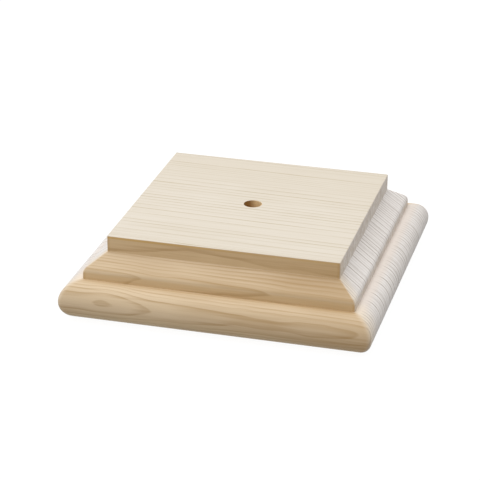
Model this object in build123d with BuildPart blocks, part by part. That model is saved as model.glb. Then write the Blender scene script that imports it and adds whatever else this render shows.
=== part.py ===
"""Square wooden post cap, machined all round from one block of pine.

The cap lies as it is fixed, wide side down. From the bottom up its outline has a slab with
a half-round edge, a narrow flat ledge, a short upright step with a rounded nose, a straight
slope and a square plate with upright edges. One hole is drilled through the middle, for the
dowel or screw of a ball or knob.

Millimetres, +Z up. The origin is the middle of the underside.
"""

import os

from build123d import *

# Slab: the widest part, whose whole edge is one half round
slab_width = 120.0
slab_thickness = 15.0
slab_mitre_radius = 1.7

# Shoulder: the upright step, its nose and the slope above it
step_width = 104.4
step_height = 3.6
nose_radius = 2.7
shoulder_height = 9.0
shoulder_mitre_radius = 0.6

# Plate: the square on top
plate_width = 89.6
plate_thickness = 6.4
plate_corner_radius = 0.5
plate_edge_radius = 0.3

# Hole through the middle
hole_diameter = 7.0

# Heights above the underside, worked out from the sizes above
ledge_level = slab_thickness
slope_foot_level = ledge_level + step_height
plate_foot_level = ledge_level + shoulder_height
top_level = plate_foot_level + plate_thickness


def moulded_section(plane):
    """The cap's outline, as the moulding cutters leave it, drawn on a plane."""
    slab_edge = slab_width / 2
    round_start = slab_edge - slab_thickness / 2
    with BuildSketch(plane) as section:
        with BuildLine():
            underside = Line((0, 0), (round_start, 0))
            half_round = ThreePointArc(
                underside @ 1,
                (slab_edge, slab_thickness / 2),
                (round_start, ledge_level),
            )
            Polyline(
                half_round @ 1,
                (step_width / 2, ledge_level),
                (step_width / 2, slope_foot_level),
                (plate_width / 2, plate_foot_level),
                (plate_width / 2, top_level),
                (0, top_level),
            )
            mirror(about=Plane.YZ)
        make_face()
        noses = section.vertices().filter_by(
            lambda corner: abs(corner.Y - slope_foot_level) < 1e-6
        )
        fillet(noses, radius=nose_radius)
    return section.sketch


def on_a_mitre(edge):
    """True for the edges where two neighbouring sides of the cap meet at a corner."""
    middle = edge.position_at(0.5)
    return abs(abs(middle.X) - abs(middle.Y)) < 1e-4 and abs(middle.X) > hole_diameter


with BuildPart() as post_cap:
    # One length of moulding across the cap, and a second at right angles that trims its ends
    extrude(moulded_section(Plane.XZ), amount=slab_width / 2, both=True)
    extrude(moulded_section(Plane.YZ), amount=slab_width / 2, both=True, mode=Mode.INTERSECT)

    # Sanded corners, each as round as its own part of the outline
    for lower, upper, radius in (
        (plate_foot_level, top_level, plate_corner_radius),
        (ledge_level, plate_foot_level, shoulder_mitre_radius),
        (0, ledge_level, slab_mitre_radius),
    ):
        mitres = post_cap.edges().filter_by(on_a_mitre)
        band = mitres.filter_by(lambda edge: lower < edge.center().Z < upper)
        fillet(band, radius=radius)

    # The sharp edge is taken off the plate
    fillet(post_cap.faces().sort_by(Axis.Z)[-1].edges(), radius=plate_edge_radius)

    # The hole, drilled right through
    with Locations((0, 0, top_level)):
        Hole(radius=hole_diameter / 2)

post_cap.part.label = "post_cap"

os.makedirs("parts", exist_ok=True)
export_step(post_cap.part, "parts/post_cap.step")
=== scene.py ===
"""A square pine post cap with a mitred moulding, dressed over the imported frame.

A Geometry Nodes tree walks the moulding's outline once round the square, and raises the growth
rings a little on the end grain. The colours of the wood follow the same ring law.
Shapes and patterns are worked out in millimetres, and the finished piece is in metres.
"""

import math

import bpy
from mathutils import Matrix, Vector


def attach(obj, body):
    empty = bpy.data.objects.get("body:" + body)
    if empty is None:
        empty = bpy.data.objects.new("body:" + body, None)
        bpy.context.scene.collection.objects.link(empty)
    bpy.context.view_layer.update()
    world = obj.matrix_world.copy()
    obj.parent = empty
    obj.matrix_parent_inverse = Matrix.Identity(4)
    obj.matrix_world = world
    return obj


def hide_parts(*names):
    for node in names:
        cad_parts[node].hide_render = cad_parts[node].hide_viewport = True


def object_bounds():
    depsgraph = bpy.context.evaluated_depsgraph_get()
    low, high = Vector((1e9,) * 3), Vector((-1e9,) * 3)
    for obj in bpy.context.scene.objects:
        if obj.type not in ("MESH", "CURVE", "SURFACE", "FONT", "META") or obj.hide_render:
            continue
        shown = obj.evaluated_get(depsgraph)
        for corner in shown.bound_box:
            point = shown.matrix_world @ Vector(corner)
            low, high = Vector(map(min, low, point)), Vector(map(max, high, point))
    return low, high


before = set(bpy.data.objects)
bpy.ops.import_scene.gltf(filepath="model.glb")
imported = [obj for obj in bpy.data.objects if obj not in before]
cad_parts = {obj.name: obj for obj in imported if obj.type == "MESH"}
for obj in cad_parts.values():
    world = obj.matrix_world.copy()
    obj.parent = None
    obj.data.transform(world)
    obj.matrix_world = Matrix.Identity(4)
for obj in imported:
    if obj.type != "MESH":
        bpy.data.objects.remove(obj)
cad_low, cad_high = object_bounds()

MM = 0.001

# The cap's sizes in millimetres, the same as its solid's
cap_sizes = {
    "Slab width": (cad_high.x - cad_low.x) / MM,
    "Slab thickness": 15.0,
    "Slab mitre radius": 1.7,
    "Step width": 104.4,
    "Step height": 3.6,
    "Nose radius": 2.7,
    "Shoulder height": 9.0,
    "Shoulder mitre radius": 0.6,
    "Plate width": 89.6,
    "Plate thickness": 6.4,
    "Plate corner radius": 0.5,
    "Plate edge radius": 0.3,
    "Hole diameter": 7.0,
    "Ring relief": 0.04,
}
cap_height = (cad_high.z - cad_low.z) / MM
slab_top = cap_sizes["Slab thickness"]
step_edge = cap_sizes["Step width"] / 2
plate_edge = cap_sizes["Plate width"] / 2
hole_radius = cap_sizes["Hole diameter"] / 2


class Value:
    """One output of a node. Arithmetic on it adds Math nodes to its tree."""

    def __init__(self, tree, socket):
        self.tree = tree
        self.socket = socket

    def __add__(self, other):
        return self.tree.math("ADD", self, other)

    def __radd__(self, other):
        return self.tree.math("ADD", other, self)

    def __sub__(self, other):
        return self.tree.math("SUBTRACT", self, other)

    def __rsub__(self, other):
        return self.tree.math("SUBTRACT", other, self)

    def __mul__(self, other):
        return self.tree.math("MULTIPLY", self, other)

    def __rmul__(self, other):
        return self.tree.math("MULTIPLY", other, self)

    def __truediv__(self, other):
        return self.tree.math("DIVIDE", self, other)

    def __rtruediv__(self, other):
        return self.tree.math("DIVIDE", other, self)

    def __neg__(self):
        return self * -1

    def __abs__(self):
        return self.tree.math("ABSOLUTE", self)

    def sine(self):
        return self.tree.math("SINE", self)

    def cosine(self):
        return self.tree.math("COSINE", self)

    def root(self):
        return self.tree.math("SQRT", self)

    def floor(self):
        return self.tree.math("FLOOR", self)

    def part(self):
        """What is left over a whole number, always from 0 to 1."""
        return self - self.floor()

    def least(self, other):
        return self.tree.math("MINIMUM", self, other)

    def most(self, other):
        return self.tree.math("MAXIMUM", self, other)

    def rise(self, low, high):
        """From 0 at low to 1 at high, smoothly. High may be the lower number of the two."""
        settings = {"interpolation_type": "SMOOTHSTEP"}
        values = {"Value": self, "From Min": low, "From Max": high}
        return self.tree.node("ShaderNodeMapRange", settings, values)[0]


class Made:
    """A node just made. Its outputs are asked for by name or number."""

    def __init__(self, tree, node):
        self.tree = tree
        self.node = node

    def __getitem__(self, key):
        return Value(self.tree, self.node.outputs[key])


class Tree:
    """A node tree, and the one way this script adds a node to it."""

    def __init__(self, nodes, links):
        self.nodes = nodes
        self.links = links

    def node(self, kind, settings=None, values=None):
        """A new node. A list of values is linked to one socket, in its order."""
        made = self.nodes.new(kind)
        for name, setting in (settings or {}).items():
            if name == "curve":
                points = made.mapping.curves[0].points
                while len(points) < len(setting):
                    points.new(1.0, 1.0)
                for point, place in zip(points, setting):
                    point.location = place
                    point.handle_type = "VECTOR"
                made.mapping.update()
            else:
                setattr(made, name, setting)
        for key, value in (values or {}).items():
            for one in value if isinstance(value, list) else [value]:
                if isinstance(one, Value):
                    self.links.new(one.socket, made.inputs[key])
                else:
                    made.inputs[key].default_value = one
        return Made(self, made)

    def math(self, operation, *values):
        settings = {"operation": operation}
        return self.node("ShaderNodeMath", settings, dict(enumerate(values)))[0]

    def curve(self, share, places):
        """The height of a line through the places, at a share of its length."""
        return self.node("ShaderNodeFloatCurve", {"curve": places}, {"Value": share})["Value"]

    def vector(self, x, y, z):
        return self.node("ShaderNodeCombineXYZ", None, {"X": x, "Y": y, "Z": z})[0]

    def parts(self, vector):
        split = self.node("ShaderNodeSeparateXYZ", None, {"Vector": vector})
        return split["X"], split["Y"], split["Z"]

    def cloud(self, x, y, z, detail=2.0, rough=0.5):
        """Soft noise round 0.5, one lump to each unit of x, y and z."""
        settings = {"noise_dimensions": "3D"}
        place = self.vector(x, y, z)
        values = {"Vector": place, "Scale": 1.0, "Detail": detail, "Roughness": rough}
        return self.node("ShaderNodeTexNoise", settings, values)[0]

    def blend(self, share, first, second):
        """The second colour over the first, by share."""
        settings = {"data_type": "RGBA", "blend_type": "MIX", "clamp_factor": True}
        first, second = (one if isinstance(one, Value) else (*one, 1.0) for one in (first, second))
        # A Mix node takes its colours at inputs 6 and 7, and gives one at output 2
        return self.node("ShaderNodeMix", settings, {0: share, 6: first, 7: second})[2]


# The growth rings of the board: one law, for the mesh and for the wood's colour

board_front = -64.4
board_back = 62.0

# The years along the front are narrow and of one width, in millimetres
front_year_width = 1.12

# How dark the late wood of each of them is
front_years = (0.5, 0.5, 0.5, 0.6, 0.8, 1.0, 0.85, 0.4, 0.7, 0.35, 0.6, 0.8, 0.4, 0.7, 0.5)
front_years += (0.6, 1.0, 0.7, 0.3)

# Where each year's dark late wood ends, in millimetres from the middle of the board, and how
# dark it is
growth_years = [
    (board_front + front_year_width * year, dark) for year, dark in enumerate(front_years)
] + [
    (-41.9, 0.15),
    (-39.1, 0.5),
    (-34.7, 0.35),
    (-31.8, 0.75),
    (-29.0, 0.55),
    (-22.2, 0.5),
    (-17.0, 0.75),
    (-13.1, 0.5),
    (-10.2, 0.35),
    (-7.6, 0.85),
    (-4.9, 1.0),
    (-2.0, 0.6),
    (0.7, 0.45),
    (4.4, 0.3),
    (7.0, 0.55),
    (9.5, 0.6),
    (12.4, 0.9),
    (16.6, 0.5),
    (20.4, 0.35),
    (22.6, 0.3),
    (26.3, 0.3),
    (28.1, 0.35),
    (30.0, 0.3),
    (32.0, 0.35),
    (34.0, 0.4),
    (36.2, 1.0),
    (43.0, 0.1),
    (45.9, 0.5),
    (48.3, 0.4),
    (50.4, 0.4),
    (52.8, 0.5),
    (55.0, 0.4),
    (57.1, 0.5),
    (59.3, 0.4),
    (board_back, 0.4),
]
year_count = len(growth_years) - 1

# Late wood fills this much of a year, and never more than this many millimetres
late_share = 0.3
late_width = 0.85

# Where the rings bend on the front: the middle of the bend, its reach and how far it pushes
small_eye = ((-39.6, 9.9), (14.0, 9.0), -0.42)
end_rise = ((-62.0, 9.0), (22.0, 15.0), 0.5)
long_eye = ((46.0, 8.5), (34.0, 15.0), -1.05)
upper_arch = ((-10.0, 27.0), (38.0, 16.0), 0.5)


def bend(x, z, middle, reach, push):
    """A smooth rise to push over one spot of the front, and 0 outside its reach."""
    x_off = (x - middle[0]) / reach[0]
    z_off = (z - middle[1]) / reach[1]
    inside = (1 - x_off * x_off - z_off * z_off).most(0)
    return inside * inside * push


def ring_depth(tree, x, y, z):
    """How far through the board's rings a point lies, in millimetres from the middle."""
    front = y.rise(-42.0, -50.0)
    upper_front = y.rise(1.4 - plate_edge, 0.1 - plate_edge) * z.rise(18.0, 24.0)

    # The rings spread a little with height, and lie at a slight slant to the board
    fan = 1 + (z - slab_top) * 0.004
    slant = x * (0.028 - 0.026 * upper_front)

    # They wander everywhere, and most on the front, where they also bend
    sway = tree.cloud(x / 46, y / 40 + 3.1, z / 18, 1.0) - 0.5
    ripple = tree.cloud(x / 17 + 7.7, y / 30, z / 8, 1.0) - 0.5
    swing = sway * (0.5 + 0.7 * front) + ripple * (0.25 + 0.75 * front)
    figure = sum(bend(x, z, *place) for place in (small_eye, end_rise, long_eye)) * front
    return y * fan + slant + swing + figure + bend(x, z, *upper_arch) * upper_front


def ring_number(tree, depth):
    """Years counted from the board's front. Late wood is the last part of each."""
    width = board_back - board_front
    places = [(0.0, 0.0)]
    for year, ((start, _), (end, _)) in enumerate(zip(growth_years, growth_years[1:])):
        late_start = end - min(late_share * (end - start), late_width)
        for at, number in ((late_start, year + 1 - late_share), (end, year + 1)):
            places.append(((at - board_front) / width, number / year_count))
    return tree.curve((depth - board_front) / width, places) * year_count


def year_strength(tree, number):
    """How dark the late wood of a year is, from its number."""
    places = [(year / year_count, dark) for year, (_, dark) in enumerate(growth_years)]
    return tree.curve((number.floor() + 1) / year_count, places)


# The moulding, walked round the square


def row_of_points(tree, start, end, steps):
    """Points in a straight row, one more than its steps."""
    settings = {"mode": "END_POINTS", "count_mode": "TOTAL"}
    ends = {"Start Location": tree.vector(*start), "Offset": tree.vector(*end)}
    return tree.node("GeometryNodeMeshLine", settings, {"Count": steps + 1, **ends})["Mesh"]


def with_note(tree, row, kind, name, value):
    """The row, with a value noted under a name at each of its points."""
    settings = {"data_type": kind, "domain": "POINT"}
    values = {"Geometry": row, "Name": name, "Value": value}
    return tree.node("GeometryNodeStoreNamedAttribute", settings, values)[0]


def noted(tree, kind, name):
    """What was noted under a name."""
    return tree.node("GeometryNodeInputNamedAttribute", {"data_type": kind}, {"Name": name})[0]


def picked(tree, geometry, kind, field, index):
    """What a field holds at one numbered point of a geometry."""
    settings = {"data_type": kind, "domain": "POINT"}
    values = {"Geometry": geometry, "Value": field, "Index": index}
    return tree.node("GeometryNodeSampleIndex", settings, values)[0]


def count_of(tree, geometry):
    """How many points a geometry has."""
    settings = {"component": "MESH"}
    sizes = tree.node("GeometryNodeAttributeDomainSize", settings, {"Geometry": geometry})
    return sizes["Point Count"]


def joined(tree, rows):
    """The rows one after another. A joint takes its newest link first, so they go in backwards."""
    return tree.node("GeometryNodeJoinGeometry", None, {"Geometry": rows[::-1]})[0]


def run(tree, start, end, steps, mitre, end_mitre=None):
    """A straight part of the outline, with the roundness of its mitre. Ends are (out, up)."""
    if end_mitre is not None:
        index = tree.node("GeometryNodeInputIndex")[0]
        mitre = mitre + (end_mitre - mitre) * index / steps
    row = row_of_points(tree, (start[0], 0, start[1]), (end[0], 0, end[1]), steps)
    return with_note(tree, row, "FLOAT", "mitre", mitre)


def arc(tree, centre, radius, first, last, steps, mitre):
    """A round part of the outline. Angles are in radians from straight out, rising."""
    row = row_of_points(tree, (first, 0, 0), (last, 0, 0), steps)
    angle, _, _ = tree.parts(tree.node("GeometryNodeInputPosition")["Position"])
    level = angle.cosine()
    row = with_note(tree, row, "FLOAT", "mitre", level.most(0) * mitre)
    place = tree.vector(centre[0] + level * radius, 0, centre[1] + angle.sine() * radius)
    return tree.node("GeometryNodeSetPosition", None, {"Geometry": row, "Position": place})[0]


def outline_of(tree, size):
    """The cap's outline, from the hole's foot out, up the moulding and back down the hole."""
    slab = size["Slab width"] / 2
    ledge = size["Slab thickness"]
    half_round = ledge / 2
    step = size["Step width"] / 2
    foot = ledge + size["Step height"]
    plate = size["Plate width"] / 2
    plate_foot = ledge + size["Shoulder height"]
    top = plate_foot + size["Plate thickness"]
    hole = size["Hole diameter"] / 2
    edge = size["Plate edge radius"]

    # The nose: a round corner between the upright step and the slope
    rise = plate_foot - foot
    going = step - plate
    slope_length = (rise * rise + going * going).root()
    sine_up = rise / slope_length
    cosine_up = going / slope_length
    nose = size["Nose radius"]
    nose_reach = nose / ((1 + sine_up) / (1 - sine_up)).root()
    nose_top = (step - nose_reach * cosine_up, foot + nose_reach * sine_up)
    nose_centre = (step - nose, foot - nose_reach)
    nose_turn = tree.math("ARCTAN2", going, rise)

    slab_mitre = size["Slab mitre radius"]
    shoulder_mitre = size["Shoulder mitre radius"]
    slope_mitre = shoulder_mitre * sine_up
    plate_mitre = size["Plate corner radius"]
    flat_end = slab - half_round
    quarter = math.pi / 2
    return joined(
        tree,
        [
            run(tree, (hole, 0), (flat_end, 0), 14, 0.0),
            arc(tree, (flat_end, half_round), half_round, -quarter, quarter, 32, slab_mitre),
            run(tree, (flat_end, ledge), (step, ledge), 1, 0.0, shoulder_mitre),
            run(tree, (step, ledge), (step, foot - nose_reach), 4, shoulder_mitre),
            arc(tree, nose_centre, nose, 0, nose_turn, 8, shoulder_mitre),
            run(tree, nose_top, (plate, plate_foot), 14, slope_mitre, plate_mitre),
            run(tree, (plate, plate_foot), (plate, top - edge), 8, plate_mitre),
            arc(tree, (plate - edge, top - edge), edge, 0, quarter, 4, plate_mitre),
            run(tree, (plate - edge, top), (hole, top), 22, 0.0),
            run(tree, (hole, top), (hole, 0), 10, 0.0),
        ],
    )


def walk_of(tree, size):
    """The way round a square of half-width 1, with the direction that each point faces.

    Sides across the grain are stepped finely, for the rings. Each corner turns on the spot.
    """
    corners = [(1, -1), (1, 1), (-1, 1), (-1, -1)]
    corner_steps = 6
    corner_turn = math.pi / 2 / corner_steps
    walk = []
    for number, (start, end) in enumerate(zip(corners, corners[1:] + corners[:1])):
        steps = size["Steps along the grain" if number % 2 else "Steps across the grain"]
        turn = number * math.pi / 2
        facing = (round(math.cos(turn)), round(math.sin(turn)), 0.0)
        side = row_of_points(tree, (*start, 0), (*end, 0), steps)
        walk.append(with_note(tree, side, "FLOAT_VECTOR", "facing", facing))

        # A corner's first and last directions are those of the two sides that meet at it
        index = tree.node("GeometryNodeInputIndex")[0]
        angle = index * corner_turn + (turn + corner_turn)
        facing = tree.vector(angle.cosine(), angle.sine(), 0)
        corner = row_of_points(tree, (*end, 0), (*end, 0), corner_steps - 2)
        walk.append(with_note(tree, corner, "FLOAT_VECTOR", "facing", facing))
    return joined(tree, walk)


def wrapped(tree, outline, walk, hole):
    """One grid, wrapped round both ways, that takes its places from the outline and the walk."""
    around = count_of(tree, walk)
    through = count_of(tree, outline)
    counts = {"Vertices X": around + 1, "Vertices Y": through}
    grid = tree.node("GeometryNodeMeshGrid", None, {"Size X": 1.0, "Size Y": 1.0, **counts})["Mesh"]

    # The nudge keeps a whole number from falling just below itself when it is divided
    nudge = 0.0001
    index = tree.node("GeometryNodeInputIndex")[0]
    row = (index / through + nudge).floor()
    place = index - row * through
    row = row - (row / around + nudge).floor() * around

    position = tree.node("GeometryNodeInputPosition")["Position"]
    facing = noted(tree, "FLOAT_VECTOR", "facing")
    mitre = picked(tree, outline, "FLOAT", noted(tree, "FLOAT", "mitre"), place)
    out, _, up = tree.parts(picked(tree, outline, "FLOAT_VECTOR", position, place))
    east, north, _ = tree.parts(picked(tree, walk, "FLOAT_VECTOR", position, row))
    turn_east, turn_north, _ = tree.parts(picked(tree, walk, "FLOAT_VECTOR", facing, row))

    # Square at the moulding, and round by the time it reaches the hole
    way_in = 26.0
    squareness = ((out - hole) / way_in).least(1)
    squareness = squareness * squareness * (3 - 2 * squareness)
    reach = (east * east + north * north).root()
    flat = out - mitre
    x = (flat * east + mitre * turn_east) * squareness + out * east / reach * (1 - squareness)
    y = (flat * north + mitre * turn_north) * squareness + out * north / reach * (1 - squareness)
    place = tree.vector(x, y, up)
    cap = tree.node("GeometryNodeSetPosition", None, {"Geometry": grid, "Position": place})[0]

    # Points where parts of the outline or the walk meet fall together, and become one
    merge = {"Geometry": cap, "Distance": 0.002}
    return tree.node("GeometryNodeMergeByDistance", None, merge)[0]


def sanded(tree, cap, relief):
    """Sanding wears the soft early wood of each ring a little lower on the end grain."""
    x, y, z = tree.parts(tree.node("GeometryNodeInputPosition")["Position"])
    ring = ring_number(tree, ring_depth(tree, x, y, z)).part()
    hard = ring.rise(0.45, 0.9) * ring.rise(1.0, 0.94)
    beyond_hole = (x * x + y * y).root().rise(8.0, 12.0)
    normal_x, normal_y, normal_z = tree.parts(tree.node("GeometryNodeInputNormal")[0])
    inward = -(relief * (1 - hard) * normal_x * normal_x * beyond_hole)
    offset = tree.vector(normal_x * inward, normal_y * inward, normal_z * inward)
    return tree.node("GeometryNodeSetPosition", None, {"Geometry": cap, "Offset": offset})[0]


def moulding_tree():
    """Builds the Geometry Nodes tree that makes the whole cap from its named sizes."""
    group = bpy.data.node_groups.new("mitred_moulding", "GeometryNodeTree")
    for name, size in cap_sizes.items():
        socket = group.interface.new_socket(name, in_out="INPUT", socket_type="NodeSocketFloat")
        socket.default_value = size
    for name, steps in (("Steps across the grain", 250), ("Steps along the grain", 70)):
        socket = group.interface.new_socket(name, in_out="INPUT", socket_type="NodeSocketInt")
        socket.default_value = steps
    group.interface.new_socket("Wood", in_out="INPUT", socket_type="NodeSocketMaterial")
    group.interface.new_socket("Cap", in_out="OUTPUT", socket_type="NodeSocketGeometry")
    tree = Tree(group.nodes, group.links)
    size = tree.node("NodeGroupInput")
    cap = wrapped(tree, outline_of(tree, size), walk_of(tree, size), size["Hole diameter"] / 2)
    cap = sanded(tree, cap, size["Ring relief"])
    cap = tree.node("GeometryNodeSetShadeSmooth", None, {"Geometry": cap, "Shade Smooth": True})[0]
    cap = tree.node("GeometryNodeTransform", None, {"Geometry": cap, "Scale": (MM, MM, MM)})[0]
    cap = tree.node("GeometryNodeRealizeInstances", None, {"Geometry": cap})[0]
    cap = tree.node("GeometryNodeSetMaterial", None, {"Geometry": cap, "Material": size["Wood"]})[0]
    tree.node("NodeGroupOutput", None, {"Cap": cap})
    return group


def made_by(group, name, inputs):
    """The plain mesh object that a Geometry Nodes tree makes."""
    mesh = bpy.data.meshes.new(name + "_seed")
    seed = bpy.data.objects.new(name + "_seed", mesh)
    bpy.context.scene.collection.objects.link(seed)
    modifier = seed.modifiers.new("tree", "NODES")
    modifier.node_group = group
    for item in group.interface.items_tree:
        if item.item_type == "SOCKET" and item.in_out == "INPUT" and item.name in inputs:
            modifier[item.identifier] = inputs[item.name]
    evaluated = seed.evaluated_get(bpy.context.evaluated_depsgraph_get())
    finished = bpy.data.meshes.new_from_object(evaluated)
    finished.name = name
    finished.materials.clear()
    finished.materials.append(inputs["Wood"])
    finished.polygons.foreach_set("material_index", [0] * len(finished.polygons))
    piece = bpy.data.objects.new(name, finished)
    bpy.context.scene.collection.objects.link(piece)
    seed.modifiers.remove(modifier)
    bpy.data.objects.remove(seed)
    bpy.data.meshes.remove(mesh)
    return piece


# The wood's colours. Where there are two, they are its darker and its paler parts

top_wood = (0.735, 0.665, 0.555), (0.785, 0.725, 0.63)
top_lines = (0.52, 0.43, 0.27)
long_wood = (0.60, 0.44, 0.26), (0.76, 0.60, 0.40)
# Painted shade on the uprights along the grain, and the warmer top edge of the plate
long_upright_shade_and_lip = (0.66, 0.42, 0.13)
# Painted shade low on the slab along the grain, towards the floor
long_foot_shade = (0.66, 0.47, 0.15)
long_lines = (0.46, 0.29, 0.12)
long_back = (0.80, 0.70, 0.56)
# Painted shade along the rounded corners of the uprights
long_corner_shade = (0.50, 0.30, 0.10)
end_wood = (0.865, 0.82, 0.785), (0.935, 0.90, 0.875)
end_level = (0.84, 0.76, 0.695)
# Painted shade low on the end grain, towards the floor
end_foot_shade = (0.60, 0.59, 0.58)
end_corner = (0.91, 0.78, 0.61)
# Painted shade on the uprights of the end grain
end_upright_shade = (0.62, 0.50, 0.37)
end_lines = (0.39, 0.34, 0.285)
# The hole's wall: painted shade on its left, painted light on its right
hole_lit_and_shaded = (0.32, 0.155, 0.035), (0.98, 0.75, 0.44)
fibre_lines = (0.40, 0.28, 0.15)

# From one fine line of the end grain to the next, in millimetres
hair_spacing = 1.87


class Grain:
    """The wood at each point of the surface: its place, its year and the patterns it carries."""

    def __init__(self, tree):
        places = tree.node("ShaderNodeTexCoord")
        x, y, z = (part / MM for part in tree.parts(places["Object"]))
        self.place = x, y, z
        self.out = abs(x).most(abs(y))
        self.from_mitre = abs(x) - abs(y)
        self.normal_x, _, self.normal_z = tree.parts(places["Normal"])

        # Each year is soft at first and darkens into late wood, with a thin line at its end
        depth = ring_depth(tree, x, y, z)
        number = ring_number(tree, depth)
        ring = number.part()
        self.strength = year_strength(tree, number)
        by_year = {"noise_dimensions": "1D"}
        self.luck = tree.node("ShaderNodeTexWhiteNoise", by_year, {"W": number.floor()})["Value"]
        self.late = ring.rise(0.3, 0.95) * ring.rise(1.0, 0.9)
        self.thin = ring.rise(0.66, 0.9) * ring.rise(1.0, 0.95)

        # The grain itself runs along x, from single fibres up to broad changes of tone
        self.fibre = tree.cloud(x / 9, y / 0.28, z / 0.28, 3.0) - 0.5
        self.streak = tree.cloud(x / 38, y / 0.9, z / 0.9, 2.0, 0.6) - 0.5
        self.band = tree.cloud(x / 60 + 4.4, y / 2.6, z / 2.6, 2.0, 0.6) - 0.5
        self.tone = tree.cloud(x / 35, y / 14, z / 14, 2.0) - 0.5
        hair = (depth / hair_spacing + self.tone * 0.6).part()
        self.hair = hair.rise(0.5, 0.85) * hair.rise(1.0, 0.9)

        # The uprights inside the step are painted darker and warmer: painted shade
        upright = abs(self.normal_z).rise(0.4, 0.05)
        self.upright_shade = upright * self.out.rise(step_edge + 0.4, step_edge + 0.1)
        self.on_slab = z.rise(slab_top + 0.4, slab_top - 0.4)


def top_colour(tree, grain):
    """The flat faces, between their strong lines."""
    x, y, z = grain.place
    cream = tree.blend(0.5 + grain.tone * 0.8 - y.most(0) * 0.014, *top_wood)
    whole = tree.cloud(x / 24 + 9.0, y / 4, z / 4).rise(0.32, 0.62)
    lines = grain.thin * grain.strength * (0.35 + whole * 0.5) + grain.late * 0.1
    return tree.blend(lines + grain.streak * 0.4 + grain.band * 0.3, cream, top_lines)


def long_colour(tree, grain):
    """The mouldings cut along the grain: palest over the slab's nose, and darker low on the right
    with painted shade.
    """
    x, y, z = grain.place
    nose = grain.out.rise(53.5, 57.0)
    # Paler to the left: partly painted light from the left, partly the wood's own tone
    pale = 0.38 + grain.tone * 1.4 - x * 0.007 + nose * 0.35 + y.rise(0.0, 50.0) * 0.3
    tan = tree.blend(pale + grain.upright_shade * 0.25, *long_wood)

    # The uprights are painted warmer, as painted shade, and the plate's top edge is warmer too; the
    # slab's foot is painted warm, as painted shade
    lip = z.rise(cap_height - 1.4, cap_height - 0.6) * (0.3 + x.rise(20.0, -30.0) * 0.35)
    tan = tree.blend(grain.upright_shade * 0.3 + lip, tan, long_upright_shade_and_lip)
    # Painted shade low on the slab, towards the floor
    tan = tree.blend(z.rise(8.0, 2.0) * 0.35, tan, long_foot_shade)

    # Lines and streaks, with painted shade low on the foot and a painted shadow along the ledge
    # under the step, both on the right
    lines = grain.late * (0.1 + grain.strength * 0.32 + grain.luck * 0.1)
    lines = lines * (1 - grain.upright_shade * 0.5) + grain.thin * (0.12 + grain.upright_shade * 0.2)
    foot = z.rise(9.5, 5.5) * 0.38
    shoulder = grain.out.rise(step_edge + 2.4, step_edge + 0.8) * (1 - grain.upright_shade) * 0.25
    lines = lines + grain.streak * 1.1 + grain.band * 0.9 + x.rise(-30.0, 30.0) * (foot + shoulder)
    tan = tree.blend(lines, tan, long_lines)

    tan = tree.blend(y.rise(20.0, 50.0) * 0.4, tan, long_back)
    # A thin painted shade along the rounded corners of the uprights
    corner = abs(grain.from_mitre).rise(1.5, 0.3) * grain.upright_shade
    return tree.blend(corner * 0.5, tan, long_corner_shade)


def end_colour(tree, grain):
    """The mouldings cut across the grain, with a fine hair of sanded lines between the years."""
    _, y, z = grain.place
    ash = tree.blend(0.5 + grain.tone, *end_wood)
    ash = tree.blend(grain.normal_z.rise(0.80, 0.98), ash, end_level)
    # Painted shade low on the end grain, towards the floor
    ash = tree.blend(z.rise(10.5, 6.0) * 0.12, ash, end_foot_shade)
    by_mitre = (grain.from_mitre / (9.0 + grain.on_slab * 5.0)).rise(1.0, 0.0)
    ash = tree.blend(by_mitre * y.rise(0.0, -30.0) * 0.75, ash, end_corner)
    # Painted shade on the uprights, with streaks
    ash = tree.blend(grain.upright_shade * (0.45 + grain.streak + grain.band), ash, end_upright_shade)

    front = y.rise(-45.0, -42.0)
    lines = grain.thin * (0.2 + front * (0.05 + grain.strength * 0.55))
    lines = lines + grain.hair * (0.48 - front * 0.18 + grain.streak * 0.55)
    squarely = abs(grain.normal_x).rise(0.05, 0.6) + z.rise(12.0, 7.0) * 0.25
    return tree.blend(lines * squarely + grain.band * 0.3, ash, end_lines)


def pine():
    """Planed and sanded pine: cream on top, tan along the grain, grey-cream on the end grain."""
    material = bpy.data.materials.new("pine")
    material.use_nodes = True
    material.node_tree.nodes.clear()
    tree = Tree(material.node_tree.nodes, material.node_tree.links)
    grain = Grain(tree)
    x, y, z = grain.place

    # Long and end grain meet along the mitres, in a softer line where the slab's corner is rounder
    mitre_blur = 0.6 + grain.on_slab * 1.7
    across = (grain.from_mitre / mitre_blur).rise(-1.0, 1.0)
    wood = tree.blend(across, long_colour(tree, grain), end_colour(tree, grain))
    flat = z.rise(cap_height - 0.35, cap_height - 0.05) + z.rise(0.5, 0.05)
    wood = tree.blend(flat, wood, top_colour(tree, grain))

    # The hole's wall is painted with shade on its left and with painted light on its right
    hole_wall_light_and_shade = tree.blend(x.rise(-2.8, 1.0), *hole_lit_and_shaded)
    in_hole = (x * x + y * y).root().rise(hole_radius + 0.12, hole_radius + 0.02)
    wood = tree.blend(in_hole, wood, hole_wall_light_and_shade)
    wood = tree.blend(grain.fibre * 0.35, wood, fibre_lines)

    end_grain = abs(grain.normal_x)
    rough = 0.52 + 0.12 * end_grain + grain.fibre * 0.15
    height = grain.fibre * (1 - end_grain) * 0.012
    height = height + (grain.thin * 0.03 + grain.hair * 0.05) * end_grain
    bump = tree.node("ShaderNodeBump", None, {"Strength": 0.6, "Distance": MM, "Height": height})[0]
    values = {"Base Color": wood, "Roughness": rough, "Normal": bump, "IOR": 1.5}
    shader = tree.node("ShaderNodeBsdfPrincipled", None, values)[0]
    tree.node("ShaderNodeOutputMaterial", None, {"Surface": shader})
    return material


# Edges that turn by more than this, in degrees, stay crisp
crisp_turn = 32

cap = made_by(moulding_tree(), "pine_cap", {**cap_sizes, "Wood": pine()})
cap.data.set_sharp_from_angle(angle=math.radians(crisp_turn))
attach(cap, "root")
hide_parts("post_cap")


# The studio: a pale floor, a soft sky and a broad light overhead


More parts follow.
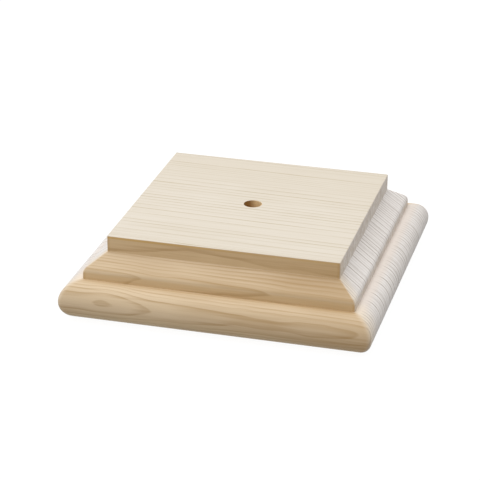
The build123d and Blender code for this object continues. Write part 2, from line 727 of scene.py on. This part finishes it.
def pale_floor():
    """A floor that shines by itself, so that it is white and takes almost no shadow."""
    material = bpy.data.materials.new("pale_floor")
    material.use_nodes = True
    shader = material.node_tree.nodes["Principled BSDF"]
    shader.inputs["Base Color"].default_value = (0.12, 0.12, 0.12, 1)
    shader.inputs["Roughness"].default_value = 0.9
    shader.inputs["Specular IOR Level"].default_value = 0.0
    shader.inputs["Emission Color"].default_value = (1, 1, 1, 1)
    shader.inputs["Emission Strength"].default_value = 0.94
    mesh = bpy.data.meshes.new("floor")
    reach = 4.0
    corners = [(-reach, -reach, 0), (reach, -reach, 0), (reach, reach, 0), (-reach, reach, 0)]
    mesh.from_pydata(corners, [], [(0, 1, 2, 3)])
    mesh.materials.append(material)
    floor = bpy.data.objects.new("floor", mesh)
    bpy.context.scene.collection.objects.link(floor)

    # It lies just under the cap, and lights nothing
    floor.location.z = -0.02 * MM
    floor.visible_diffuse = False


def soft_sky():
    """A sky bright overhead, dimmer below and low on the right, and warm from the front."""
    sky = bpy.data.worlds.new("soft_sky")
    sky.use_nodes = True
    sky.node_tree.nodes.clear()
    tree = Tree(sky.node_tree.nodes, sky.node_tree.links)
    east, north, high = tree.parts(tree.node("ShaderNodeTexCoord")["Generated"])
    above, below = high.most(0), high.least(0)
    glow = 0.50 + above * 0.55 + below * 0.34 - east * 0.08 + east.most(0) * below * 0.3
    warm = (-north).most(0) * (0.7 - high * 0.6)
    tint = tree.blend(warm, (1, 1, 1), (1.0, 0.86, 0.70))
    light = tree.node("ShaderNodeBackground", None, {"Color": tint, "Strength": glow})[0]
    tree.node("ShaderNodeOutputWorld", None, {"Surface": light})
    bpy.context.scene.world = sky


def broad_light(name, place, width, power):
    """A round light that shines on the origin."""
    light = bpy.data.lights.new(name, "AREA")
    light.shape = "DISK"
    light.size = width
    light.energy = power
    lamp = bpy.data.objects.new(name, light)
    bpy.context.scene.collection.objects.link(lamp)
    lamp.location = place
    lamp.rotation_euler = (-Vector(place)).to_track_quat("-Z", "Y").to_euler()


pale_floor()
soft_sky()
broad_light("overhead", (-0.25, 0.0, 1.1), width=0.7, power=3.2)


# The photograph's camera, solved from the cap's own edges

# The photograph and the focal length in pixels, and the film in millimetres
photo_width = 480
focal_pixels = 1900.5
film_width = 36.0

# The spot it looks at, and how far off it stands, in metres
camera_aim = Vector((-4.75, -1.37, 15.0)) * MM
camera_distance = 0.74698

# How far it stands round from the front, how high, and how far it leans, in degrees
camera_angles = (15.02, 23.93, 0.35)

azimuth, elevation, lean = (math.radians(angle) for angle in camera_angles)
back = Vector(
    (
        math.sin(azimuth) * math.cos(elevation),
        -math.cos(azimuth) * math.cos(elevation),
        math.sin(elevation),
    )
)
level_right = (-back).cross(Vector((0, 0, 1))).normalized()
level_up = level_right.cross(-back)
right = math.cos(lean) * level_right + math.sin(lean) * level_up
up = math.cos(lean) * level_up - math.sin(lean) * level_right
lens = bpy.data.cameras.new("camera")
lens.sensor_width = film_width
lens.lens = focal_pixels / photo_width * film_width
lens.clip_start, lens.clip_end = 0.05, 20.0
camera = bpy.data.objects.new("camera", lens)
bpy.context.scene.collection.objects.link(camera)
turn = Matrix((right, up, back)).transposed().to_4x4()
camera.matrix_world = Matrix.Translation(camera_aim + back * camera_distance) @ turn
bpy.context.scene.camera = camera
bpy.context.scene.view_settings.view_transform = "Standard"
bpy.context.scene.view_settings.look = "None"
